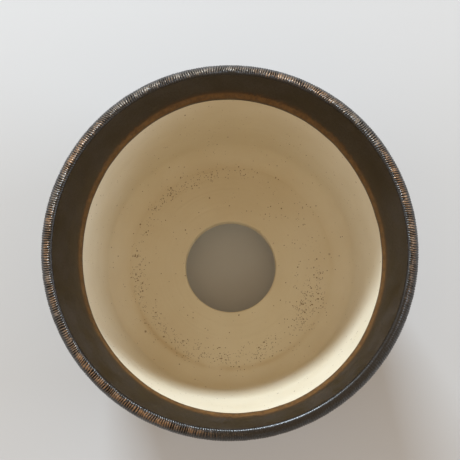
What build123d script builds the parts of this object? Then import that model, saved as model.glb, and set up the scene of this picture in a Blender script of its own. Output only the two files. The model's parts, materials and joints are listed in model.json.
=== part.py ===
"""A round bonsai pot with a flared mouth, a large drain hole and three luted feet.

The pot is one fired object, built up from separately formed pieces of cream stoneware (a wall,
a floor disc, a lip ring and three feet) under a bronze-brown glaze. The glaze is modelled as
its own thin coats: over the outside, over the lip, down the first part of the inside and over
the feet. The rest of the inside, the underside and the soles of the feet stay bare clay.

Frame: millimetres, +Z up through the mouth, origin on the pot's axis at the ground.
"""

import os

from build123d import *

# ---------------------------------------------------------------- driving dimensions
mouth_diameter = 126.0  # over the glazed lip
pot_height = 97.0  # ground to the glazed crest of the lip
foot_height = 9.5  # ground to the underside of the floor
floor_thickness = 7.5
wall_thickness = 4.8  # clay, measured level
glaze_thickness = 0.4
lip_height = 8.0  # joint between wall and lip ring, below the clay crest
crest_inset = 3.1  # from the widest part of the lip in to its crest
crest_round = 0.8  # radius of the narrow clay crest
crest_outer_angle = 60.0  # degrees above level where the crest runs out into the lip's flank
crest_inner_angle = 163.0  # and where it runs into the flare of the inside
rim_drop = 4.4  # from the crest down to the widest part of the lip
neck_depth = 1.0  # how far the wall stands back under the lip

floor_radius = 41.5  # bare floor inside, up to its joint with the wall
floor_bevel = 2.5  # the floor disc is wider by this much at its underside
heel_spread = 8.2  # from the floor's edge out to the wall, across the curved heel inside
heel_rise = 8.5  # height of that curved heel
waist_inset = 8.3  # how much narrower the inside is at the waist than over the lip
glaze_band_depth = 22.5  # crest to the waist, where the glaze inside ends and the flare starts
outer_heel_rise = 9.0  # height of the rounded corner outside
outer_heel_spread = 6.0  # how far that corner draws in at the underside

hole_diameter = 37.2
hole_round = 0.6  # softened edges of the drain hole

foot_names = ("front", "right", "left")
first_foot_azimuth = -90.0  # degrees about +Z, from +X
foot_top_width = 29.0
foot_waist_width = 23.0  # at the level of the underside
foot_sole_width = 20.0
foot_sole_depth = 8.0  # measured towards the axis
foot_climb = 7.0  # how far a foot reaches up the wall above the underside
foot_stand_out = 1.2  # how far a foot stands proud of the wall at its top
foot_belly = 0.4  # how far its front bulges between top and toe
foot_toe_set = 1.4  # how far the toe draws in at the ground
sole_wipe = 1.2  # bare clay wiped clean above the ground

# ---------------------------------------------------------------- derived places
floor_top = foot_height + floor_thickness
clay_crest = pot_height - glaze_thickness
clay_rim_radius = mouth_diameter / 2 - glaze_thickness
lip_joint = clay_crest - lip_height
neck_radius = clay_rim_radius - neck_depth
rim_height = pot_height - rim_drop
crest_radius = mouth_diameter / 2 - crest_inset
crest_centre = Vector(crest_radius, clay_crest - crest_round)
crest_outer = crest_centre + Vector(crest_round, 0).rotate(Axis.Z, crest_outer_angle)
crest_inner = crest_centre + Vector(crest_round, 0).rotate(Axis.Z, crest_inner_angle)
crest_parting = crest_centre + (crest_inner - crest_centre) * 9  # past the coat, the same way
waist_radius = mouth_diameter / 2 - waist_inset
waist_height = pot_height - glaze_band_depth
heel_radius = floor_radius + heel_spread
heel_top = floor_top + heel_rise
wall_slope = (waist_radius - heel_radius) / (waist_height - heel_top)
up_the_wall = Vector(wall_slope, 1).normalized()
reach = 2 * max(mouth_diameter, pot_height)  # a size safely past the whole pot


def outer_wall_radius(height):
    """Radius of the clay wall's outside on its straight stretch, at a height above the ground."""
    return heel_radius + wall_slope * (height - heel_top) + wall_thickness


outer_heel_top = foot_height + outer_heel_rise
outer_heel_radius = outer_wall_radius(outer_heel_top)
underside_radius = outer_heel_radius - outer_heel_spread
outer_waist_radius = outer_wall_radius(waist_height)

foot_top = foot_height + foot_climb
foot_top_radius = outer_wall_radius(foot_top) + foot_stand_out
toe_radius = foot_top_radius - foot_toe_set
belly_radius = (foot_top_radius + toe_radius) / 2 + foot_belly
foot_back_radius = toe_radius - foot_sole_depth

# ---------------------------------------------------------------- sections of the pot
with BuildSketch(Plane.XZ) as clay_section:
    # The whole clay wall and lip in one outline, which the pieces below share out.
    with BuildLine():
        Line((floor_radius + floor_bevel, foot_height), (floor_radius, floor_top))
        TangentArc((heel_radius, heel_top), (floor_radius, floor_top), tangent=-up_the_wall)
        Line((heel_radius, heel_top), (waist_radius, waist_height))
        TangentArc((waist_radius, waist_height), crest_inner, tangent=up_the_wall)
        ThreePointArc(crest_inner, (crest_radius, clay_crest), crest_outer)
        TangentArc((clay_rim_radius, rim_height), crest_outer, tangent=(0, 1))
        TangentArc((clay_rim_radius, rim_height), (neck_radius, lip_joint), tangent=(0, -1))
        TangentArc(
            (outer_waist_radius, waist_height), (neck_radius, lip_joint), tangent=up_the_wall
        )
        Line((outer_waist_radius, waist_height), (outer_heel_radius, outer_heel_top))
        TangentArc(
            (outer_heel_radius, outer_heel_top),
            (underside_radius, foot_height),
            tangent=-up_the_wall,
        )
        Line((underside_radius, foot_height), (floor_radius + floor_bevel, foot_height))
    make_face()

with BuildSketch(Plane.XZ) as coat_section:
    # An even coat all round the clay outline, of which the glazed stretches are cut.
    add(clay_section.sketch)
    offset(amount=glaze_thickness, kind=Kind.ARC)
    add(clay_section.sketch, mode=Mode.SUBTRACT)

# ---------------------------------------------------------------- clay pieces
with BuildPart() as wall:
    with BuildSketch(Plane.XZ):
        add(clay_section.sketch)
        with Locations((0, lip_joint)):
            Rectangle(reach, reach, align=(Align.CENTER, Align.MIN), mode=Mode.SUBTRACT)
    revolve(axis=Axis.Z)
wall.part.label = "wall"

with BuildPart() as lip_ring:
    with BuildSketch(Plane.XZ):
        add(clay_section.sketch)
        with Locations((0, lip_joint)):
            Rectangle(reach, reach, align=(Align.CENTER, Align.MAX), mode=Mode.SUBTRACT)
    revolve(axis=Axis.Z)
lip_ring.part.label = "lip_ring"

with BuildPart() as floor_disc:
    with BuildSketch(Plane.XZ):
        with BuildLine():
            Polyline(
                (0, foot_height),
                (floor_radius + floor_bevel, foot_height),
                (floor_radius, floor_top),
                (0, floor_top),
                close=True,
            )
        make_face()
    revolve(axis=Axis.Z)
    with Locations((0, 0, floor_top)):
        Hole(hole_diameter / 2)
    hole_edges = floor_disc.edges().filter_by(GeomType.CIRCLE).group_by(SortBy.RADIUS)[0]
    fillet(hole_edges, radius=hole_round)
floor_disc.part.label = "floor_disc"


def foot_block(coat):
    """One foot on the +X side, grown by a coat, before it is cut to fit against the wall."""
    top = foot_top + coat
    with BuildPart() as block:
        with BuildSketch(Plane.XZ):
            with BuildLine():
                ThreePointArc(
                    (toe_radius + coat, 0),
                    (belly_radius + coat, foot_height),
                    (foot_top_radius + coat, top),
                )
                Polyline(
                    (foot_top_radius + coat, top),
                    (heel_radius, top),
                    (foot_back_radius - coat, foot_height),
                    (foot_back_radius - coat, 0),
                    (toe_radius + coat, 0),
                )
            make_face()
        revolve(axis=Axis.Z)
        with BuildSketch(Plane.YZ):
            with BuildLine():
                ThreePointArc(
                    (foot_sole_width / 2 + coat, 0),
                    (foot_waist_width / 2 + coat, foot_height),
                    (foot_top_width / 2 + coat, top),
                )
                Polyline(
                    (foot_top_width / 2 + coat, top),
                    (0, top),
                    (0, 0),
                    (foot_sole_width / 2 + coat, 0),
                )
            make_face()
            mirror(about=Plane.YZ)
        extrude(amount=reach, mode=Mode.INTERSECT)
    return block.part


with BuildPart() as foot_clay:
    add(foot_block(coat=0))
    add(wall.part, mode=Mode.SUBTRACT)
    add(floor_disc.part, mode=Mode.SUBTRACT)

with BuildPart() as foot_coat:
    # Glaze all round and over the top ledge, wiped off above the sole.
    add(foot_block(coat=glaze_thickness))
    add(foot_block(coat=0), mode=Mode.SUBTRACT)
    add(wall.part, mode=Mode.SUBTRACT)
    add(floor_disc.part, mode=Mode.SUBTRACT)
    Cylinder(
        reach, sole_wipe, align=(Align.CENTER, Align.CENTER, Align.MIN), mode=Mode.SUBTRACT
    )

feet = {}
for place, name in enumerate(foot_names):
    turn = (0, 0, first_foot_azimuth + place * 360 / len(foot_names))
    with BuildPart() as foot:
        add(foot_clay.part, rotation=turn)
    foot.part.label = f"{name}_foot"
    with BuildPart() as foot_glaze:
        add(foot_coat.part, rotation=turn)
    foot_glaze.part.label = f"{name}_foot_glaze"
    feet[name] = (foot.part, foot_glaze.part)

# ---------------------------------------------------------------- glaze coats of the wall and lip
with BuildSketch(Plane.XZ) as core_section:
    # Everything on the axis' side of a line up the middle of the clay and out where the crest
    # meets the flare, which parts the coat into its outer and its inner stretch.
    with BuildLine():
        Polyline(
            (0, 0),
            (underside_radius, 0),
            (underside_radius, foot_height),
            (heel_radius + wall_thickness / 2, heel_top),
            (waist_radius + wall_thickness / 2, waist_height),
            crest_centre,
            crest_parting,
            (0, crest_parting.Y),
            close=True,
        )
    make_face()

with BuildPart() as outer_glaze:
    with BuildSketch(Plane.XZ):
        add(coat_section.sketch)
        add(core_section.sketch, mode=Mode.SUBTRACT)
        with Locations((0, foot_height)):
            Rectangle(reach, reach, align=(Align.CENTER, Align.MAX), mode=Mode.SUBTRACT)
        with Locations((0, lip_joint)):
            Rectangle(reach, reach, align=(Align.CENTER, Align.MIN), mode=Mode.SUBTRACT)
    revolve(axis=Axis.Z)
    for foot_part, foot_glaze_part in feet.values():
        add(foot_part, mode=Mode.SUBTRACT)
        add(foot_glaze_part, mode=Mode.SUBTRACT)
outer_glaze.part.label = "outer_glaze"

with BuildPart() as lip_glaze:
    with BuildSketch(Plane.XZ):
        add(coat_section.sketch)
        add(core_section.sketch, mode=Mode.SUBTRACT)
        with Locations((0, lip_joint)):
            Rectangle(reach, reach, align=(Align.CENTER, Align.MAX), mode=Mode.SUBTRACT)
    revolve(axis=Axis.Z)
lip_glaze.part.label = "lip_glaze"

with BuildPart() as inner_glaze:
    with BuildSketch(Plane.XZ):
        add(coat_section.sketch)
        add(core_section.sketch, mode=Mode.INTERSECT)
        with Locations((0, waist_height)):
            Rectangle(reach, reach, align=(Align.CENTER, Align.MAX), mode=Mode.SUBTRACT)
    revolve(axis=Axis.Z)
inner_glaze.part.label = "inner_glaze"

# ---------------------------------------------------------------- write the pieces
pieces = [wall.part, lip_ring.part, floor_disc.part]
pieces += [outer_glaze.part, lip_glaze.part, inner_glaze.part]
for pair in feet.values():
    pieces += pair

os.makedirs("parts", exist_ok=True)
for piece in pieces:
    export_step(piece, f"parts/{piece.label}.step")
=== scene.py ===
"""The looks of a round bonsai pot, built round its packed frame.

A small hand-made stoneware pot with bare cream clay inside and underneath, a smooth dark band
of glaze inside the mouth, and a bronze glaze over comb marks on the lip and the outside.
Lengths are metres, +Z is up through the mouth and the origin is on the axis at the ground.
"""

import json
import math

import bpy
import numpy as np
from bpy.props import FloatProperty, FloatVectorProperty, IntProperty, PointerProperty
from bpy.types import Operator, Panel, PropertyGroup
from mathutils import Euler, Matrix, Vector


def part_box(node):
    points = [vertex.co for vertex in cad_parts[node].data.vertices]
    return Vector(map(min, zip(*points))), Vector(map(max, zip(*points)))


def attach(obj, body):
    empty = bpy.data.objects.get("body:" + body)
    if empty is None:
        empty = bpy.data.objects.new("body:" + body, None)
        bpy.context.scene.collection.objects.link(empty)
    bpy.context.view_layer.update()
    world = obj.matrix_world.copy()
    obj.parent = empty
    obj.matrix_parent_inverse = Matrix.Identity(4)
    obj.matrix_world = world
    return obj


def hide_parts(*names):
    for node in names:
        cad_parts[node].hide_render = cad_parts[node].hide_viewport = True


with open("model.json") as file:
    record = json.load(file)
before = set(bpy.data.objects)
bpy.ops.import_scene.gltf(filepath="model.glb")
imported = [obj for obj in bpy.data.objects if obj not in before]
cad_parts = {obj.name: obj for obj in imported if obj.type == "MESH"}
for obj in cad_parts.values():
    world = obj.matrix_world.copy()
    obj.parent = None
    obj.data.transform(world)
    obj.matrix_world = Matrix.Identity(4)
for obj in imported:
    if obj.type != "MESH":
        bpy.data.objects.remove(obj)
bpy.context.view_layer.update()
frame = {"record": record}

bl_info = {
    "name": "Bonsai pot",
    "version": (1, 0, 0),
    "blender": (4, 5, 0),
    "location": "View3D > Sidebar > Bonsai pot",
    "description": "Builds a round, combed and glazed stoneware bonsai pot on its frame",
    "category": "Add Mesh",
}

MM = 0.001
BODY = "root"
FOOT_NODES = ("front_foot", "right_foot", "left_foot")
# degrees from straight outwards between which the lip's narrow crest turns
CREST_OUT, CREST_IN = 60, 163

# drifts of iron specks in the clay: direction and spread in degrees, distance and width in mm,
# and how many specks
IRON_DRIFTS = (
    (-24, 13, 35.5, 3.8, 1.7),
    (-75, 40, 37, 3.0, 0.55),
    (-140, 34, 38, 3.0, 0.65),
    (120, 36, 39, 2.2, 0.75),
    (62, 12, 25, 2.2, 0.22),
    (172, 24, 38, 1.8, 0.30),
    (20, 30, 33, 7.0, 0.10),
)
SCATTERED_IRON = 0.015  # how many specks the clay shows everywhere, on the same scale

# mesh steps round each piece, and across one comb mark on the combed ones
CLAY_STEPS = 600
LIP_CORE_STEPS = 360
BAND_STEPS = 1320
FOOT_STEPS = 128
SEGMENTS_PER_MARK = 5
HIDDEN_ROWS = 6  # mesh steps up the side of a combed coat that lies on the clay
SHARP_ANGLE = math.radians(50)  # edges that turn further than this stay crisp

# each light's turn from +X and its height over the mouth, in degrees
KEY_PLACE, RIGHT_PLACE, LEFT_PLACE = (106, 28), (5, 28), (180, 30)
RIGHT_SHARE = 1.8  # strength of the right side light, as a multiple of the left one's


# ---------------------------------------------------------------- what the frame says
def frame_radius(node):
    """Largest reach of a frame node from the axis, along X."""
    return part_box(node)[1].x


def frame_bottom(node):
    """Lowest height of a frame node."""
    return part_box(node)[0].z


def frame_top(node):
    """Highest height of a frame node."""
    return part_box(node)[1].z


def drain_hole_radius():
    """Radius of the drain hole, from the record's mount."""
    hole = next(m for m in frame["record"]["mounts"] if m["name"] == "drain_hole")
    return hole["dims"]["r_mm"] * MM


# ---------------------------------------------------------------- settings
def length(name, description, default):
    """A length setting in metres."""
    return FloatProperty(
        name=name, description=description, default=default, min=0, unit="LENGTH", precision=5
    )


def turning(name, description, degrees):
    """An angle about the axis, from +X."""
    return FloatProperty(
        name=name, description=description, default=math.radians(degrees), subtype="ANGLE"
    )


def power(name, description, default):
    """A light's power in watts."""
    return FloatProperty(name=name, description=description, default=default, min=0, unit="POWER")


def share(name, description, default):
    """A setting between nothing and everything."""
    return FloatProperty(
        name=name, description=description, default=default, min=0, max=1, subtype="FACTOR"
    )


def colour(name, description, default):
    """A colour setting."""
    return FloatVectorProperty(
        name=name, description=description, default=default, size=3, min=0, max=1, subtype="COLOR"
    )


class PotForm(PropertyGroup):
    """The pot's profile."""

    mouth_radius: length("Mouth", "Radius over the glazed lip", frame_radius("lip_glaze"))
    crest: length("Crest", "Height of the glazed lip", frame_top("lip_glaze"))
    clay_rim: length("Clay rim", "Radius over the clay of the lip", frame_radius("lip_ring"))
    clay_crest: length("Clay crest", "Height of the clay of the lip", frame_top("lip_ring"))
    lip_joint: length("Lip joint", "Height where wall and lip meet", frame_bottom("lip_ring"))
    neck: length("Neck", "Radius of the wall under the lip", frame_radius("wall"))
    rim_drop: length("Rim drop", "From the crest down to the widest part of the lip", 4.4 * MM)
    crest_inset: length("Crest inset", "From the widest part in to the crest", 3.1 * MM)
    crest_round: length("Crest round", "Radius of the narrow clay crest", 0.8 * MM)
    waist: length("Waist height", "Where the flare starts inside", frame_bottom("inner_glaze"))
    waist_radius: length("Waist", "Inside radius at the waist", 54.7 * MM)
    wall_thickness: length("Wall", "Clay of the wall", 4.8 * MM)
    heel_radius: length("Heel", "Inside radius over the curved heel", 49.7 * MM)
    heel_rise: length("Heel rise", "Height of the curved heel inside", 8.5 * MM)
    floor_radius: length("Floor", "Radius of the flat floor inside", 41.5 * MM)
    floor_top: length("Floor top", "Height of the floor inside", frame_top("floor_disc"))
    floor_edge: length("Floor edge", "Floor's radius underneath", frame_radius("floor_disc"))
    underside: length("Underside", "Height of the underside", frame_bottom("floor_disc"))
    outer_heel_rise: length("Outer heel rise", "Height of the rounded corner", 9.0 * MM)
    outer_heel_spread: length("Outer heel spread", "How far that corner draws in", 6.0 * MM)
    hole_radius: length("Drain hole", "Radius of the drain hole", drain_hole_radius())
    hole_round: length("Hole edge", "Rounding of the drain hole's edges", 0.6 * MM)


class FootForm(PropertyGroup):
    """The three feet."""

    top: length("Top", "Height where a foot runs out on the wall", frame_top("front_foot"))
    top_width: length("Top width", "Width where it runs out", 29.0 * MM)
    waist_width: length("Waist width", "Width at the underside", 23.0 * MM)
    sole_width: length("Sole width", "Width at the ground", 20.0 * MM)
    sole_depth: length("Sole depth", "Depth towards the axis", 8.0 * MM)
    toe: length("Toe", "Radius of the toe at the ground", 53.8 * MM)
    belly: length("Belly", "Radius of the foot's front at its fullest", 54.7 * MM)
    sole_round: length("Sole edge", "Rounding of the sole's edge", 0.9 * MM)
    wipe: length("Wipe", "Bare clay wiped clean above the ground", 1.3 * MM)


class CombMarks(PropertyGroup):
    """The comb marks under the bronze glaze."""

    teeth: IntProperty(name="Marks", description="Comb marks round the pot", default=480, min=12)
    depth: length("Depth", "Depth of a mark on the wall", 0.24 * MM)
    lip_depth: length("Lip depth", "Depth of a mark on the lip", 0.62 * MM)
    wander: share("Wander", "How far a mark strays sideways", 0.7)
    # painted shade: on this side the lip's ridges are also painted darker
    flooded_and_shaded_way: turning("Flooded way", "Side where the glaze fills the marks of the lip", -52)


class GlazeDip(PropertyGroup):
    """How the pot was dipped, mouth down, for the glaze inside."""

    overrun: length("Overrun", "How far below the waist the glaze ends", 2.5 * MM)
    slant: length("Slant", "How much higher the glaze ends on one side", 2.65 * MM)
    slant_way: turning("Slant way", "Side where it ends highest", 0)
    sway: length("Sway", "How much the edge rises and falls twice round", 5.3 * MM)
    sway_way: turning("Sway way", "Where that rise is", 100)


class GlazeLook(PropertyGroup):
    """Colours of the glazes."""

    groove: colour("Groove", "Bronze glaze pooled in the marks", (0.008, 0.006, 0.005))
    ridge: colour("Ridge", "Bronze glaze over the ridges", (0.30, 0.25, 0.20))
    copper: colour("Copper", "Warm tint of the ridges in places", (0.42, 0.25, 0.135))
    band_dark: colour("Band", "Smooth glaze inside the mouth", (0.022, 0.0138, 0.0048))
    band_light: colour("Band mottle", "Lighter mottling of that glaze", (0.040, 0.030, 0.022))
    broken: colour("Break", "Thin glaze above its lower edge", (0.17, 0.080, 0.022))
    rust: colour("Rust", "Streaks in that thin glaze", (0.095, 0.044, 0.014))
    scorched: colour("Scorch", "Glaze on both sides of the thin stretch", (0.050, 0.024, 0.008))


class ClayLook(PropertyGroup):
    """Colours of the bare clay."""

    cream: colour("Cream", "Fired clay", (0.78, 0.70, 0.54))
    warm: colour("Warm", "Warmer patches of the clay", (0.74, 0.65, 0.48))
    speck: colour("Speck", "Iron specks", (0.19, 0.10, 0.035))
    # painted shade: a darker, warmer line along the edge of the floor
    corner_shade: colour("Corner", "Slip pooled in the corner of the floor", (0.60, 0.46, 0.26))


class StageLook(PropertyGroup):
    """Floor, lights and camera."""

    paper: colour("Floor", "Pale floor", (0.545, 0.545, 0.545))
    key: power("Key", "Cool window light over the back of the rim", 13.2)
    key_tint: colour("Key tint", "Colour of that light", (0.75, 0.88, 1.0))
    fill: power("Fill", "Soft light from the sides", 2.2)
    fill_tint: colour("Fill tint", "Colour of that light", (0.68, 0.82, 1.0))
    sky: FloatProperty(name="Sky", description="Light from all round", default=0.625, min=0)
    sky_tint: colour("Sky tint", "Colour of the light from all round", (1.0, 0.77, 0.52))


SETTINGS = {
    "pot_form": PotForm,
    "pot_feet": FootForm,
    "pot_comb": CombMarks,
    "pot_dip": GlazeDip,
    "pot_glaze": GlazeLook,
    "pot_clay": ClayLook,
    "pot_stage": StageLook,
}


# ---------------------------------------------------------------- section lines, as (radius, height)
def straight(start, end, steps):
    """Evenly spaced points from start to end."""
    way = np.linspace(0, 1, steps + 1)[:, None]
    return np.array(start) * (1 - way) + np.array(end) * way


def arc(start, end, heading, steps):
    """Points of the circular arc that leaves start along heading and ends at end."""
    start = np.array(start, float)
    chord = np.array(end, float) - start
    first = math.atan2(heading[1], heading[0])
    half_turn = math.remainder(math.atan2(chord[1], chord[0]) - first, math.tau)
    radius = np.hypot(*chord) / (2 * math.sin(half_turn))
    angles = first + 2 * half_turn * np.linspace(0, 1, steps + 1)
    swing = np.stack([np.sin(angles) - math.sin(first), math.cos(first) - np.cos(angles)], axis=1)
    return start + radius * swing


def joined(*stretches):
    """One line from stretches that each start where the last one ends."""
    return np.concatenate([stretches[0]] + [stretch[1:] for stretch in stretches[1:]])


def even(line, steps):
    """The same line, cut into equal steps."""
    gaps = np.hypot(*np.diff(line, axis=0).T)
    along = np.concatenate([[0], np.cumsum(gaps)])
    places = np.linspace(0, along[-1], steps + 1)
    return np.stack([np.interp(places, along, line[:, i]) for i in (0, 1)], axis=1)


def wall_way(form):
    """Direction up the straight stretch of the wall."""
    way = np.array([form.waist_radius - form.heel_radius, form.waist - heel_top(form)])
    return way / np.hypot(*way)


def heel_top(form):
    """Height where the curved heel inside ends."""
    return form.floor_top + form.heel_rise


def outer_wall_radius(form, height):
    """Radius of the clay's outside on its straight stretch."""
    way = wall_way(form)
    return form.heel_radius + form.wall_thickness + (height - heel_top(form)) * way[0] / way[1]


def rim_height(form):
    """Height where the lip is widest."""
    return form.crest - form.rim_drop


def crest_arc(form, first, last, steps):
    """The lip's narrow crest in clay, between two angles in degrees from straight outwards."""
    centre = (form.mouth_radius - form.crest_inset, form.clay_crest - form.crest_round)
    angles = np.radians(np.linspace(first, last, steps + 1))
    circle = np.stack([np.cos(angles), np.sin(angles)], axis=1)
    return np.array(centre) + form.crest_round * circle


def heel_line(form):
    """Inside, from the floor's edge up the curved heel."""
    down = arc((form.heel_radius, heel_top(form)), (form.floor_radius, form.floor_top),
               -wall_way(form), 24)
    return down[::-1]


def flare_line(form):
    """Inside, from the waist up the flare to the crest."""
    crest_start = crest_arc(form, CREST_IN, CREST_IN, 0)[0]
    return arc((form.waist_radius, form.waist), crest_start, wall_way(form), 40)


def inside_line(form):
    """Inside, from the floor's edge up to where the crest starts."""
    bottom = (form.heel_radius, heel_top(form))
    wall = straight(bottom, (form.waist_radius, form.waist), 30)
    return joined(heel_line(form), wall, flare_line(form))


def flank_line(form):
    """Outside, from the neck up over the widest part of the lip to the crest."""
    rim = (form.clay_rim, rim_height(form))
    under = arc(rim, (form.neck, form.lip_joint), (0, -1), 12)[::-1]
    over = arc(rim, crest_arc(form, CREST_OUT, CREST_OUT, 0)[0], (0, 1), 16)
    return joined(under, over)


def outside_line(form):
    """Outside, from the underside up to the neck."""
    way = wall_way(form)
    heel = (outer_wall_radius(form, form.underside + form.outer_heel_rise),
            form.underside + form.outer_heel_rise)
    foot = (heel[0] - form.outer_heel_spread, form.underside)
    waist = (outer_wall_radius(form, form.waist), form.waist)
    return joined(
        arc(heel, foot, -way, 12)[::-1],
        straight(heel, waist, 12),
        arc(waist, (form.neck, form.lip_joint), way, 6),
    )


def normals_of(line, side):
    """Unit normals of a line; side 1 is to the right of its direction, -1 to the left."""
    way = np.gradient(line, axis=0)
    way /= np.hypot(way[:, 0], way[:, 1])[:, None]
    return side * np.stack([way[:, 1], -way[:, 0]], axis=1)


# ---------------------------------------------------------------- noise that closes round a ring
def eased(t):
    """Smooth step of values between 0 and 1."""
    t = np.clip(t, 0, 1)
    return t * t * (3 - 2 * t)


def partly(least, amount):
    """A share that grows from least to 1 while amount grows from 0 to 1."""
    return least + (1 - least) * amount


def facing(angles, way, sharpness, narrowness):
    """1 on the side of the pot that faces way and 0 on the others, eased between them."""
    return eased(0.5 + sharpness * (np.cos(angles - way) - narrowness))


def ring_noise(random, rows, around, cells_up, cells_round):
    """Smooth noise between -1 and 1 on rows x around points, without a seam round the ring."""
    grid = random.uniform(-1, 1, (cells_up + 2, cells_round))
    up = np.linspace(0, cells_up, rows)
    turn = np.arange(around) * cells_round / around
    row, column = np.floor(up).astype(int), np.floor(turn).astype(int)
    rise, run = eased(up - row)[:, None], eased(turn - column)[None, :]
    near, far = grid[row], grid[row + 1]
    following = (column + 1) % cells_round
    low = near[:, column] * (1 - run) + near[:, following] * run
    high = far[:, column] * (1 - run) + far[:, following] * run
    return low * (1 - rise) + high * rise


def comb_ridges(random, rows, around, teeth, wander):
    """Comb marks from 0 in a groove to 1 on a ridge, uneven in width, depth and course."""
    turn = np.arange(around)[None, :] * teeth / around
    # marks stray together, about eleven at a time and, half as far, about three at a time
    strays = ring_noise(random, rows, around, 3, teeth // 11)
    strays += 0.5 * ring_noise(random, rows, around, 5, teeth // 3)
    phase = turn + wander * strays
    wave = 0.5 - 0.5 * np.cos(math.tau * phase)
    strength = 0.62 + 0.38 * ring_noise(random, rows, around, 4, teeth // 2)
    chatter = 0.16 * ring_noise(random, rows, around, max(rows // 2, 1), teeth)
    return np.clip(1 - strength * (1 - wave ** 0.8) + chatter, 0, 1)


# ---------------------------------------------------------------- meshes
def spun(line, around, push=0.0, side=1):
    """Points of a line turned round the axis, each pushed out along the line's normal."""
    angles = np.arange(around) * math.tau / around
    normals = normals_of(line, side)
    radius = line[:, :1] + normals[:, :1] * push
    height = line[:, 1:] + normals[:, 1:] * push + 0 * angles
    return np.stack([radius * np.cos(angles), radius * np.sin(angles), height], axis=2)


def ring_faces(rows, around, closed):
    """Quads between neighbouring rows, and back to the first row when closed."""
    row = np.arange(rows if closed else rows - 1)[:, None]
    place = np.arange(around)[None, :]
    above, beside = (row + 1) % rows, (place + 1) % around
    corners = [row * around + place, row * around + beside,
               above * around + beside, above * around + place]
    return np.stack([np.broadcast_to(c, (len(row), around)) for c in corners], axis=2)


def ring_piece(name, grid, closed=True, **marks):
    """A closed mesh of rows of points; marks are per-point values for its material."""
    rows, around = grid.shape[:2]
    faces = ring_faces(rows, around, closed).reshape(-1, 4).tolist()
    if not closed:
        faces.append(list(range(around))[::-1])
        faces.append(list(range((rows - 1) * around, rows * around)))
    mesh = bpy.data.meshes.new(name)
    mesh.from_pydata(grid.reshape(-1, 3).tolist(), [], faces)
    for label, values in marks.items():
        layer = mesh.attributes.new(label, "FLOAT", "POINT")
        layer.data.foreach_set("value", np.asarray(values, np.float32).ravel())
    if mesh_volume(mesh) < 0:
        mesh.flip_normals()
    mesh.shade_smooth()
    mesh.set_sharp_from_angle(angle=SHARP_ANGLE)
    mesh.validate()
    piece = bpy.data.objects.new(name, mesh)
    bpy.context.scene.collection.objects.link(piece)
    return piece


def mesh_volume(mesh):
    """Signed volume, which is negative when the faces look inwards."""
    points = np.zeros(len(mesh.vertices) * 3)
    mesh.vertices.foreach_get("co", points)
    points = points.reshape(-1, 3)
    mesh.calc_loop_triangles()
    corners = np.zeros(len(mesh.loop_triangles) * 3, int)
    mesh.loop_triangles.foreach_get("vertices", corners)
    a, b, c = points[corners.reshape(-1, 3)].transpose(1, 0, 2)
    return np.einsum("ij,ij->", a, np.cross(b, c)) / 6


def finish_piece(piece, material, slot, *nodes):
    """Gives a piece its material and its body, and hides the frame nodes it stands for. The slot is
    not used.
    """
    piece.data.materials.append(material)
    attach(piece, BODY)
    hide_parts(*nodes)


# ---------------------------------------------------------------- materials
def node(tree, kind, inputs=None, **settings):
    """A shader node with its settings, and inputs that are values or other nodes' outputs."""
    made = tree.nodes.new("ShaderNode" + kind)
    for key, value in settings.items():
        setattr(made, key, value)
    for key, value in (inputs or {}).items():
        if isinstance(value, bpy.types.NodeSocket):
            tree.links.new(value, made.inputs[key])
        else:
            made.inputs[key].default_value = value
    return made


def math_node(tree, operation, *values, clamp=False):
    """Output of a maths node."""
    made = node(tree, "Math", dict(enumerate(values)), operation=operation, use_clamp=clamp)
    return made.outputs[0]


def blended(tree, amount, first, second):
    """Colour between first and second."""
    made = node(tree, "Mix", {0: amount, 6: first, 7: second}, data_type="RGBA")
    return made.outputs[2]


def between(tree, value, low, high, to_low=0.0, to_high=1.0):
    """Value mapped smoothly from low..high to to_low..to_high."""
    made = node(
        tree,
        "MapRange",
        {"Value": value, "From Min": low, "From Max": high, "To Min": to_low, "To Max": to_high},
        interpolation_type="SMOOTHSTEP",
    )
    return made.outputs[0]


def noise(tree, place, size, detail=3.0, roughness=0.5):
    """Noise with blotches of about the given size."""
    inputs = {"Vector": place, "Scale": 1 / size, "Detail": detail, "Roughness": roughness}
    return node(tree, "TexNoise", inputs).outputs[0]


def mark(tree, name):
    """A per-point value of the mesh."""
    return node(tree, "Attribute", attribute_name=name).outputs["Fac"]


def new_material(name):
    """An empty principled material, with its tree, shader and the place on the object."""
    material = bpy.data.materials.new(name)
    material.use_nodes = True
    tree = material.node_tree
    shader = tree.nodes["Principled BSDF"]
    place = node(tree, "TexCoord").outputs["Object"]
    return material, tree, shader, place


def opaque(rgb):
    """A colour with full alpha."""
    return (*rgb, 1.0)


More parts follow.
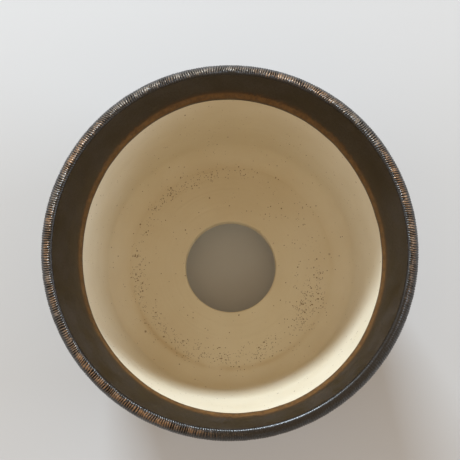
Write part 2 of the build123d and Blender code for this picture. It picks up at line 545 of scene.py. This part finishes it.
def combed_glaze(look):
    """Metallic bronze glaze: dark where it pools in the marks, brassy where it thins on ridges, with
    painted shade on the ridges under the lip and on one side of it.
    """
    material, tree, shader, place = new_material("combed_bronze_glaze")
    relief = mark(tree, "relief")
    cloud = noise(tree, place, 26 * MM, 3.0, 0.6)
    grain = noise(tree, place, 0.45 * MM, 3.0, 0.6)
    warmth = between(tree, cloud, 0.40, 0.62)
    ridge = blended(tree, warmth, opaque(look.ridge), opaque(look.copper))
    # painted shade: the per-point relief also carries shade painted on the ridges under the lip and
    # on one side of it
    height = math_node(tree, "ADD", relief, math_node(tree, "MULTIPLY", grain, 0.7))
    worn_and_shaded = between(tree, height, 0.85, 1.50)
    body = blended(tree, worn_and_shaded, opaque(look.groove), ridge)
    edge = math_node(tree, "ADD", mark(tree, "to_edge"), math_node(tree, "MULTIPLY", grain, MM))
    thin = between(tree, edge, 1.6 * MM, 0.5 * MM)  # breaks just above its lower edge
    tree.links.new(blended(tree, thin, body, opaque(look.broken)), shader.inputs["Base Color"])
    tree.links.new(between(tree, worn_and_shaded, 0, 1, 0.15, 0.65), shader.inputs["Metallic"])
    tree.links.new(between(tree, grain, 0.3, 0.7, 0.25, 0.42), shader.inputs["Roughness"])
    shader.inputs["IOR"].default_value = 1.62
    bump = node(tree, "Bump", {"Height": grain, "Strength": 0.3, "Distance": 0.1 * MM})
    tree.links.new(bump.outputs[0], shader.inputs["Normal"])
    return material


def smooth_glaze(look):
    """Satin dark glaze that breaks to orange brown along its lower edge."""
    material, tree, shader, place = new_material("smooth_dark_glaze")
    cloud = noise(tree, place, 9 * MM, 4.0, 0.6)
    grain = noise(tree, place, 0.7 * MM, 3.0, 0.6)
    mottle = between(tree, math_node(tree, "ADD", cloud, grain), 0.8, 1.25)
    body = blended(tree, mottle, opaque(look.band_dark), opaque(look.band_light))
    drawn_out = node(tree, "VectorMath", {0: place, 1: (1, 1, 0.3)}, operation="MULTIPLY")
    streaks = noise(tree, drawn_out.outputs[0], 1.3 * MM, 3.0, 0.6)
    broad = noise(tree, place, 18 * MM, 2.0, 0.5)
    ragged = between(tree, broad, 0.38, 0.62, 2.0 * MM, 7.5 * MM)
    stray = math_node(tree, "MULTIPLY", math_node(tree, "SUBTRACT", streaks, 0.5), ragged)
    edge = mark(tree, "to_edge")
    reached = math_node(tree, "ADD", edge, stray)
    # upwards from the lower edge: a scorched line, thin glaze, and a border before the dark
    border = between(tree, reached, 9.6 * MM, 7.4 * MM)
    thin = between(tree, reached, 7.6 * MM, 6.2 * MM)
    scorch = between(tree, edge, 2.9 * MM, 1.7 * MM)
    shade = blended(tree, border, body, opaque(look.scorched))
    rust = blended(tree, between(tree, streaks, 0.35, 0.65), opaque(look.rust), opaque(look.broken))
    glow = blended(tree, thin, shade, rust)
    tree.links.new(blended(tree, scorch, glow, opaque(look.scorched)), shader.inputs["Base Color"])
    tree.links.new(between(tree, cloud, 0.3, 0.7, 0.42, 0.54), shader.inputs["Roughness"])
    shader.inputs["IOR"].default_value = 1.4
    bump = node(tree, "Bump", {"Height": grain, "Strength": 0.2, "Distance": 0.05 * MM})
    tree.links.new(bump.outputs[0], shader.inputs["Normal"])
    return material


def specks(tree, place, spacing, size, share_kept):
    """Soft round specks with the given spacing and largest radius, of which a share is kept."""
    cells = node(tree, "TexVoronoi", {"Vector": place, "Scale": 1 / spacing})
    pick = node(tree, "SeparateColor", {"Color": cells.outputs["Color"]})
    kept = math_node(tree, "LESS_THAN", pick.outputs[0], share_kept)
    grown = math_node(tree, "MULTIPLY", pick.outputs[1], size / spacing)
    inside = math_node(tree, "SUBTRACT", grown, cells.outputs["Distance"])
    spot = between(tree, inside, -0.10, 0.12)
    return math_node(tree, "MULTIPLY", spot, kept)


def bare_clay(look):
    """Unglazed cream stoneware with throwing lines and iron specks."""
    material, tree, shader, place = new_material("bare_cream_clay")
    cloud = noise(tree, place, 22 * MM, 4.0, 0.55)
    grain = noise(tree, place, 0.35 * MM, 4.0, 0.7)
    tone = between(tree, math_node(tree, "ADD", cloud, math_node(tree, "MULTIPLY", grain, 0.3)),
                   0.4, 0.9)
    body = blended(tree, tone, opaque(look.cream), opaque(look.warm))
    iron = mark(tree, "iron")
    bunches = between(tree, noise(tree, place, 4.5 * MM, 2.0, 0.6), 0.42, 0.66)
    iron = math_node(tree, "MULTIPLY", iron, between(tree, bunches, 0, 1, 0.6, 4.0))
    spots = specks(tree, place, 0.55 * MM, 0.23 * MM, iron)
    # larger specks are further apart, and fewer of them are kept
    for spacing, size, fewer in ((1.1 * MM, 0.35 * MM, 0.7), (2.9 * MM, 0.52 * MM, 0.35)):
        more = specks(tree, place, spacing, size, math_node(tree, "MULTIPLY", iron, fewer))
        spots = math_node(tree, "MAXIMUM", spots, more)
    spots = math_node(tree, "MULTIPLY", spots, between(tree, grain, 0.25, 0.6, 0.45, 1.0))
    # painted shade: a darker, warmer line along the floor's edge, stronger on one side
    pooled_and_corner_shade = math_node(tree, "MULTIPLY", mark(tree, "pooled_and_corner_shade"), between(tree, cloud, 0.3, 0.6))
    body = blended(tree, pooled_and_corner_shade, body, opaque(look.corner_shade))
    tree.links.new(blended(tree, spots, body, opaque(look.speck)), shader.inputs["Base Color"])
    shader.inputs["Roughness"].default_value = 0.82
    bump = node(tree, "Bump", {"Height": grain, "Strength": 0.3, "Distance": 0.06 * MM})
    tree.links.new(bump.outputs[0], shader.inputs["Normal"])
    return material


def pale_floor(look):
    """Plain pale paper."""
    material, tree, shader, place = new_material("pale_floor")
    cloud = noise(tree, place, 0.3, 2.0)
    darker = [0.97 * channel for channel in look.paper]
    tree.links.new(blended(tree, cloud, opaque(look.paper), opaque(darker)),
                   shader.inputs["Base Color"])
    shader.inputs["Roughness"].default_value = 0.9
    return material


def shared(make, look):
    """The material a function makes, made once."""
    if make.__name__ not in shared.made:
        shared.made[make.__name__] = make(look)
    return shared.made[make.__name__]


shared.made = {}


# ---------------------------------------------------------------- pieces
def iron_density(points):
    """How many iron specks the clay shows at each point: most round the floor's rim, in drifts."""
    radius = np.hypot(points[..., 0], points[..., 1])
    angle = np.arctan2(points[..., 1], points[..., 0])
    total = SCATTERED_IRON + 0 * radius
    for way, spread, distance, width, strength in IRON_DRIFTS:
        turn = np.remainder(angle - math.radians(way) + math.pi, math.tau) - math.pi
        beside = (turn / math.radians(spread)) ** 2 + ((radius - distance * MM) / (width * MM)) ** 2
        total += strength * np.exp(-beside)
    return total


def painted_corner_shade(form, points):
    """Painted shade along the edge of the floor, where it meets the heel, more on one side of the
    pot.
    """
    shaded_way, width = math.radians(-105), 1.1 * MM
    everywhere, on_that_side = 0.12, 0.6
    radius = np.hypot(points[..., 0], points[..., 1])
    angle = np.arctan2(points[..., 1], points[..., 0])
    side = everywhere + on_that_side * facing(angle, shaded_way, 1.2, 0.7)
    return side * np.exp(-(((radius - form.floor_radius) / width) ** 2))


def clay_piece(name, form, grid, clay, node_name, closed=True):
    """A clay piece with its iron specks and its painted shade along the floor's edge, in place of a
    frame node.
    """
    marks = {"iron": iron_density(grid), "pooled_and_corner_shade": painted_corner_shade(form, grid)}
    piece = ring_piece(name, grid, closed, **marks)
    finish_piece(piece, shared(bare_clay, clay), "bare_clay", node_name)


def build_wall(form, clay):
    """The clay wall: its inside below the glaze, its underside and its hidden outside."""
    around = CLAY_STEPS
    random = np.random.default_rng(11)
    whole = inside_line(form)
    inside = even(whole[whole[:, 1] < form.lip_joint], 110)
    # narrow throwing rings over broader, deeper ones
    throwing = 0.05 * MM * ring_noise(random, len(inside), around, 26, 5)
    throwing += 0.10 * MM * ring_noise(random, len(inside), around, 9, 3)
    fade = eased(np.linspace(0, 12, len(inside)))[:, None]
    shown = spun(inside, around, throwing * fade, -1)
    rest = joined(straight(inside[-1], (form.neck, form.lip_joint), 2),
                  outside_line(form)[::-1],
                  straight(outside_line(form)[0], (form.floor_edge, form.underside), 3),
                  straight((form.floor_edge, form.underside),
                           (form.floor_radius, form.floor_top), 3))
    grid = np.concatenate([shown, spun(rest[1:-1], around)])
    clay_piece("thrown_wall", form, grid, clay, "wall")


def build_floor(form, clay):
    """The floor disc with the rounded edges of its drain hole."""
    around = CLAY_STEPS
    random = np.random.default_rng(23)
    flat_start = form.hole_radius + form.hole_round
    top, bottom = form.floor_top, form.underside
    upper_edge = arc((form.hole_radius, top - form.hole_round), (flat_start, top), (0, 1), 6)
    lower_edge = arc((flat_start, bottom), (form.hole_radius, bottom + form.hole_round), (-1, 0), 6)
    trimmed = straight((flat_start, top), (form.floor_radius, top), 90)
    tool_lines = 0.05 * MM * ring_noise(random, len(trimmed), around, 30, 3)
    fade = eased(np.linspace(0, 10, len(trimmed))) * eased(np.linspace(10, 0, len(trimmed)))
    shown = spun(trimmed, around, tool_lines * fade[:, None], -1)
    rest = joined(straight((form.floor_radius, top), (form.floor_edge, bottom), 3),
                  straight((form.floor_edge, bottom), (flat_start, bottom), 30),
                  lower_edge,
                  straight(lower_edge[-1], upper_edge[0], 8),
                  upper_edge)
    grid = np.concatenate([shown, spun(rest[1:-1], around)])
    clay_piece("floor", form, grid, clay, "floor_disc")


def lip_bed(form, comb):
    """How far the clay under the lip's glaze lies back, to leave room for the marks."""
    spare = 0.05 * MM
    return comb.lip_depth - glaze_coat(form) + spare


def build_lip_core(form, clay, comb):
    """The clay ring inside the glazed lip."""
    around = LIP_CORE_STEPS
    whole = inside_line(form)
    upper = whole[whole[:, 1] >= form.lip_joint]
    over = joined(crest_arc(form, CREST_IN, CREST_OUT, 12), flank_line(form)[::-1])
    back = straight(over[-1], upper[0], 4)[1:-1]
    rings = [spun(upper, around)[:-1], spun(over, around, -lip_bed(form, comb), -1),
             spun(back, around)]
    clay_piece("lip_core", form, np.concatenate(rings), clay, "lip_ring")


def glaze_coat(form):
    """Thickness of the glaze."""
    return form.mouth_radius - form.clay_rim


def length_along(line):
    """Distance of each point of a line from its start."""
    return np.concatenate([[0], np.cumsum(np.hypot(*np.diff(line, axis=0).T))])


def build_outer_glaze(form, glaze, comb):
    """Combed bronze glaze over the outside, with painted shade on the ridges under the lip."""
    around = comb.teeth * SEGMENTS_PER_MARK
    line = outside_line(form)
    ridges = comb_ridges(np.random.default_rng(7), len(line), around, comb.teeth, comb.wander)
    coat = glaze_coat(form)
    feathered = 1.2 * MM  # over which the coat thickens above its lower edge
    low_edge = 0.4 * MM * (1 + ring_noise(np.random.default_rng(5), 1, around, 1, 90))
    to_edge = length_along(line)[:, None] + 0 * ridges
    fullness = eased((to_edge - low_edge) / feathered)
    push = (coat - comb.depth * (1 - ridges)) * fullness
    hidden = spun(even(line, HIDDEN_ROWS)[::-1], around, 0.2 * coat)
    from_neck = length_along(line)[-1] - length_along(line)[:, None]
    # painted shade: the ridges are painted darker just under the lip and lighter further down, over
    # neck_shade
    shaded_at_neck, lighter_further_down, neck_shade = 0.62, 0.3, 30 * MM
    relief = ridges * (shaded_at_neck + lighter_further_down * eased(from_neck / neck_shade))
    piece = ring_piece(
        "outer_glaze_coat",
        np.concatenate([spun(line, around, push), hidden]),
        relief=np.concatenate([relief, 0 * hidden[..., 0]]),
        to_edge=np.concatenate([to_edge, 0 * hidden[..., 0]]),
    )
    finish_piece(piece, shared(combed_glaze, glaze), "combed_glaze", "outer_glaze")


def flooded_and_shaded_side(comb, around):
    """How far the lip's glaze fills its marks all round: on one side it nearly hides them. The same
    share paints shade on the lip's ridges on that side.
    """
    angles = np.arange(around) * math.tau / around
    return facing(angles, comb.flooded_and_shaded_way, 2.2, 0.74)


def build_lip_glaze(form, glaze, comb):
    """Bronze glaze over the comb marks of the lip, up to its crest."""
    around = comb.teeth * SEGMENTS_PER_MARK
    line = even(joined(flank_line(form), crest_arc(form, CREST_OUT, CREST_IN, 10)), 30)
    ridges = comb_ridges(np.random.default_rng(9), len(line), around, comb.teeth, comb.wander)
    to_crest = length_along(line)[-1] - length_along(line)[:, None]

    # along the crest the marks are faint, down to an uneven line
    crest_reach, uneven = 0.35 * MM, 0.3 * MM
    reach = crest_reach + uneven * ring_noise(
        np.random.default_rng(3), 1, around, 1, comb.teeth
    )
    pooled_and_corner_shade = eased((to_crest - reach) / (0.7 * MM) + 0.5)
    merged = eased((to_crest - reach) / (0.9 * MM))

    # on the flooded side the glaze fills the marks next to the crest; the same share also paints
    # shade on that side's ridges further down
    flooded_and_shaded = flooded_and_shaded_side(comb, around)
    filled = flooded_and_shaded * eased(1.6 - to_crest / (2.2 * MM))
    ridges = 1 - (1 - ridges) * partly(0.35, pooled_and_corner_shade) * (1 - 0.92 * filled)

    # the glaze ran down off the crest, so the marks further down are shallower; the same share
    # paints shade on the ridges down the flank, under the lip
    run_end, run_over = 4.3 * MM, 2.6 * MM
    run_off_and_flank_shade = eased((run_end - to_crest) / run_over)
    cut = comb.lip_depth * partly(0.4, run_off_and_flank_shade) * eased(to_crest / (1.2 * MM))
    push = glaze_coat(form) - cut * (1 - ridges)
    # painted shade: the ridges' colour is painted darker down the flank towards the neck and on the
    # flooded side, on top of their own relief
    relief = ridges * partly(0.5, run_off_and_flank_shade) * (1 - 0.5 * flooded_and_shaded) * partly(0.45, merged)
    hidden = spun(even(line, HIDDEN_ROWS)[::-1], around, 0.9 * lip_bed(form, comb))
    piece = ring_piece(
        "lip_glaze_coat",
        np.concatenate([spun(line, around, push), hidden]),
        relief=np.concatenate([relief, 0 * hidden[..., 0]]),
        to_edge=np.ones((len(line) + len(hidden), around)),
    )
    finish_piece(piece, shared(combed_glaze, glaze), "lip_glaze", "lip_glaze")


def glaze_line(form, dip, around):
    """Height of the glaze's lower edge inside, all round: dipped at a slant, by hand."""
    angles = np.arange(around) * math.tau / around
    height = form.waist - dip.overrun + dip.slant * np.cos(angles - dip.slant_way)
    height += dip.sway * np.cos(2 * (angles - dip.sway_way))
    random = np.random.default_rng(31)
    for size, runs in ((0.5 * MM, 14), (0.25 * MM, 70)):
        height += size * ring_noise(random, 1, around, 1, runs)[0]
    return height


def build_inner_glaze(form, glaze, dip):
    """Smooth dark glaze from the crest down the flare, with its uneven lower edge."""
    around = BAND_STEPS
    random = np.random.default_rng(37)
    line = inside_line(form)
    along = length_along(line)
    start = np.interp(glaze_line(form, dip, around), line[:, 1], along)
    # rows lie closer together in the quarter next to the lower edge
    way = np.concatenate([np.linspace(0, 0.25, 24)[:-1], np.linspace(0.25, 1, 36)])[:, None]
    places = start + (along[-1] - start) * way
    base = np.stack([np.interp(places, along, line[:, i]) for i in (0, 1)], axis=2)
    normals = normals_of(line, -1)
    normal = np.stack([np.interp(places, along, normals[:, i]) for i in (0, 1)], axis=2)
    to_edge = places - start
    soft = 0.05 * MM * ring_noise(random, len(way), around, 6, 50) * eased(10 - 10 * way)
    push = (glaze_coat(form) + soft) * partly(0.15, eased(to_edge / (2.5 * MM)))
    grid = turned_out(base + normal * push[..., None], around)
    back_rows = slice(None, None, -8)  # every eighth row, from the crest down
    hidden = turned_out((base - 0.2 * glaze_coat(form) * normal)[back_rows], around)
    piece = ring_piece(
        "inner_glaze_band",
        np.concatenate([grid, hidden]),
        to_edge=np.concatenate([to_edge, to_edge[back_rows]]),
    )
    finish_piece(piece, shared(smooth_glaze, glaze), "smooth_glaze", "inner_glaze")


def turned_out(section, around):
    """Points in space from a grid of (radius, height) with one column for each angle."""
    angles = np.arange(around) * math.tau / around
    radius, height = section[..., 0], section[..., 1]
    return np.stack([radius * np.cos(angles), radius * np.sin(angles), height], axis=2)


def foot_grid(foot, form, heights, shrink):
    """Rows of points round one foot on the +X side, drawn in by shrink."""
    around = FOOT_STEPS
    angles = np.arange(around) * math.tau / around
    squareness = 2 / 5  # 1 gives a round foot, 0 a square one
    sunk = 1.2 * MM  # how far the front draws into the wall at its top
    side = np.sign(np.cos(angles)) * np.abs(np.cos(angles)) ** squareness
    depth = np.sign(np.sin(angles)) * np.abs(np.sin(angles)) ** squareness
    sole, waist, top = foot.sole_width / 2, foot.waist_width / 2, foot.top_width / 2
    half_width = np.interp(heights, [0, form.underside, foot.top], [sole, waist, top])
    rise = eased(heights / form.underside)
    front = foot.toe * (1 - rise) + foot.belly * rise
    sink = eased((heights - form.underside) / (foot.top - form.underside))
    front -= sunk * sink
    back = np.full_like(heights, foot.toe - foot.sole_depth)
    low = np.clip(1 - heights / foot.sole_round, 0, 1)
    draw = shrink + foot.sole_round * (1 - np.sqrt(1 - low**2))
    half_width, front, back = half_width - draw, front - draw, back + draw
    across = half_width[:, None] * side[None, :]
    out = ((front + back) / 2)[:, None] + ((front - back) / 2)[:, None] * depth[None, :]
    out = out - across**2 / (2 * foot.belly)
    return np.stack([out, across, heights[:, None] + 0 * across], axis=2)


def turned(grid, angle):
    """Points turned about the axis."""
    c, s = math.cos(angle), math.sin(angle)
    x, y = grid[..., 0], grid[..., 1]
    return np.stack([c * x - s * y, s * x + c * y, grid[..., 2]], axis=-1)


def build_foot(name, form, foot, glaze, clay):
    """One foot of clay and the glaze over it."""
    low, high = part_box(name)
    centre = (low + high) / 2
    angle = math.atan2(centre.y, centre.x)
    coat = glaze_coat(form)
    levels = np.concatenate([np.linspace(0, foot.sole_round, 6)[:-1],
                             np.linspace(foot.sole_round, foot.top - coat, 30)])
    grid = turned(foot_grid(foot, form, levels, coat), angle)
    clay_piece(f"{name}_clay", form, grid, clay, name, closed=False)

    heights = np.linspace(foot.wipe, foot.top, 34)
    shown = foot_grid(foot, form, heights, 0)
    hidden = foot_grid(foot, form, heights, coat)[::-1]
    grid = turned(np.concatenate([shown, hidden]), angle)
    to_edge = np.concatenate([heights, heights[::-1]])[:, None] - foot.wipe + 0 * grid[..., 0]
    piece = ring_piece(f"{name}_glaze_coat", grid, to_edge=to_edge)
    finish_piece(piece, shared(smooth_glaze, glaze), "smooth_glaze", f"{name}_glaze")


# ---------------------------------------------------------------- stage
def placed(name, data, place, turn):
    """A lamp or camera at a place, turned from looking straight down."""
    item = bpy.data.objects.new(name, data)
    item.location = place
    item.rotation_euler = turn.to_euler()
    bpy.context.scene.collection.objects.link(item)
    return item


def aimed(way):
    """The turn that makes a lamp look along a direction."""
    return way.to_track_quat("-Z", "Y")


def area_light(name, form, angles, size, watts, tint):
    """A soft light a metre off, turned from +X and raised, that looks at the mouth."""
    data = bpy.data.lights.new(name, "AREA")
    data.shape = "RECTANGLE"
    data.size, data.size_y = size
    data.energy = watts
    data.color = tint
    turn, climb = (math.radians(angle) for angle in angles)
    way = Vector((math.cos(climb) * math.cos(turn), math.cos(climb) * math.sin(turn),
                  math.sin(climb)))
    light = placed(name, data, Vector((0, 0, form.crest)) + way, aimed(-way))
    light.visible_camera = False


def build_camera(form):
    """Camera over the mouth, leaning a little towards the front."""
    lean, sideways = math.radians(6.56), math.radians(0.3)
    distance = 320 * MM
    right_of_mouth, above_mouth = 0.13 * MM, 5.94 * MM
    turn = Euler((lean, sideways, 0)).to_quaternion()
    place = Vector((0, 0, form.crest)) + turn @ Vector((right_of_mouth, above_mouth, distance))
    data = bpy.data.cameras.new("camera")
    data.lens = 76.0
    camera = placed("camera", data, place, turn)
    bpy.context.scene.camera = camera


def build_stage(form, stage):
    """Pale floor, soft light and the camera."""
    build_camera(form)
    half = 3.0  # half the floor's width, in metres
    corners = [(-half, -half, 0), (half, -half, 0), (half, half, 0), (-half, half, 0)]
    mesh = bpy.data.meshes.new("pale_floor")
    mesh.from_pydata(corners, [], [(0, 1, 2, 3)])
    floor = bpy.data.objects.new("pale_floor", mesh)
    floor.data.materials.append(pale_floor(stage))
    bpy.context.scene.collection.objects.link(floor)
    area_light("key_light", form, KEY_PLACE, (0.32, 0.18), stage.key, stage.key_tint)
    right = RIGHT_SHARE * stage.fill
    area_light("right_light", form, RIGHT_PLACE, (0.5, 0.4), right, stage.fill_tint)
    area_light("left_light", form, LEFT_PLACE, (0.5, 0.5), stage.fill, stage.fill_tint)
    world = bpy.data.worlds.new("room")
    world.use_nodes = True
    background = world.node_tree.nodes["Background"]
    background.inputs["Color"].default_value = opaque(stage.sky_tint)
    background.inputs["Strength"].default_value = stage.sky
    bpy.context.scene.world = world
    bpy.context.scene.view_settings.view_transform = "Standard"


# ---------------------------------------------------------------- operators
class POT_OT_stage(Operator):
    """Add the camera, the pale floor and the soft lights"""

    bl_idname = "bonsai_pot.stage"
    bl_label = "Stage"

    def execute(self, context):
        scene = context.scene
        build_stage(scene.pot_form, scene.pot_stage)
        return {"FINISHED"}


class POT_OT_wall(Operator):
    """Throw the clay wall"""

    bl_idname = "bonsai_pot.wall"
    bl_label = "Wall"

    def execute(self, context):
        scene = context.scene
        build_wall(scene.pot_form, scene.pot_clay)
        return {"FINISHED"}


class POT_OT_floor(Operator):
    """Add the floor disc and its drain hole"""

    bl_idname = "bonsai_pot.floor"
    bl_label = "Floor"

    def execute(self, context):
        scene = context.scene
        build_floor(scene.pot_form, scene.pot_clay)
        return {"FINISHED"}


class POT_OT_lip_core(Operator):
    """Add the clay ring inside the lip"""

    bl_idname = "bonsai_pot.lip_core"
    bl_label = "Lip ring"

    def execute(self, context):
        scene = context.scene
        build_lip_core(scene.pot_form, scene.pot_clay, scene.pot_comb)
        return {"FINISHED"}


class POT_OT_outer_glaze(Operator):
    """Coat the combed outside"""

    bl_idname = "bonsai_pot.outer_glaze"
    bl_label = "Outer glaze"

    def execute(self, context):
        scene = context.scene
        build_outer_glaze(scene.pot_form, scene.pot_glaze, scene.pot_comb)
        return {"FINISHED"}


class POT_OT_lip_glaze(Operator):
    """Coat the combed lip"""

    bl_idname = "bonsai_pot.lip_glaze"
    bl_label = "Lip glaze"

    def execute(self, context):
        scene = context.scene
        build_lip_glaze(scene.pot_form, scene.pot_glaze, scene.pot_comb)
        return {"FINISHED"}


class POT_OT_inner_glaze(Operator):
    """Coat the band inside the mouth"""

    bl_idname = "bonsai_pot.inner_glaze"
    bl_label = "Inner glaze band"

    def execute(self, context):
        scene = context.scene
        build_inner_glaze(scene.pot_form, scene.pot_glaze, scene.pot_dip)
        return {"FINISHED"}


class POT_OT_feet(Operator):
    """Lute the feet under the wall and glaze them"""

    bl_idname = "bonsai_pot.feet"
    bl_label = "Feet"

    def execute(self, context):
        scene = context.scene
        for name in FOOT_NODES:
            build_foot(name, scene.pot_form, scene.pot_feet, scene.pot_glaze, scene.pot_clay)
        return {"FINISHED"}


OPERATORS = (
    POT_OT_stage,
    POT_OT_wall,
    POT_OT_floor,
    POT_OT_lip_core,
    POT_OT_outer_glaze,
    POT_OT_lip_glaze,
    POT_OT_inner_glaze,
    POT_OT_feet,
)


class POT_PT_sidebar(Panel):
    """Settings and pieces of the pot."""

    bl_label = "Bonsai pot"
    bl_space_type = "VIEW_3D"
    bl_region_type = "UI"
    bl_category = "Bonsai pot"

    def draw(self, context):
        for operator in OPERATORS:
            self.layout.operator(operator.bl_idname)
        for setting, group in SETTINGS.items():
            box = self.layout.box()
            box.label(text=group.__doc__)
            for name in group.__annotations__:
                box.prop(getattr(context.scene, setting), name)


def register():
    """Register the settings, the operators and the panel."""
    for setting, group in SETTINGS.items():
        bpy.utils.register_class(group)
        setattr(bpy.types.Scene, setting, PointerProperty(type=group))
    for operator in OPERATORS:
        bpy.utils.register_class(operator)
    bpy.utils.register_class(POT_PT_sidebar)


def unregister():
    """Take everything back out."""
    bpy.utils.unregister_class(POT_PT_sidebar)
    for operator in reversed(OPERATORS):
        bpy.utils.unregister_class(operator)
    for setting, group in SETTINGS.items():
        delattr(bpy.types.Scene, setting)
        bpy.utils.unregister_class(group)


def main():
    """Build everything in order."""
    register()
    bpy.ops.bonsai_pot.stage()
    bpy.ops.bonsai_pot.wall()
    bpy.ops.bonsai_pot.floor()
    bpy.ops.bonsai_pot.lip_core()
    bpy.ops.bonsai_pot.outer_glaze()
    bpy.ops.bonsai_pot.lip_glaze()
    bpy.ops.bonsai_pot.inner_glaze()
    bpy.ops.bonsai_pot.feet()


if __name__ == "__main__":
    main()
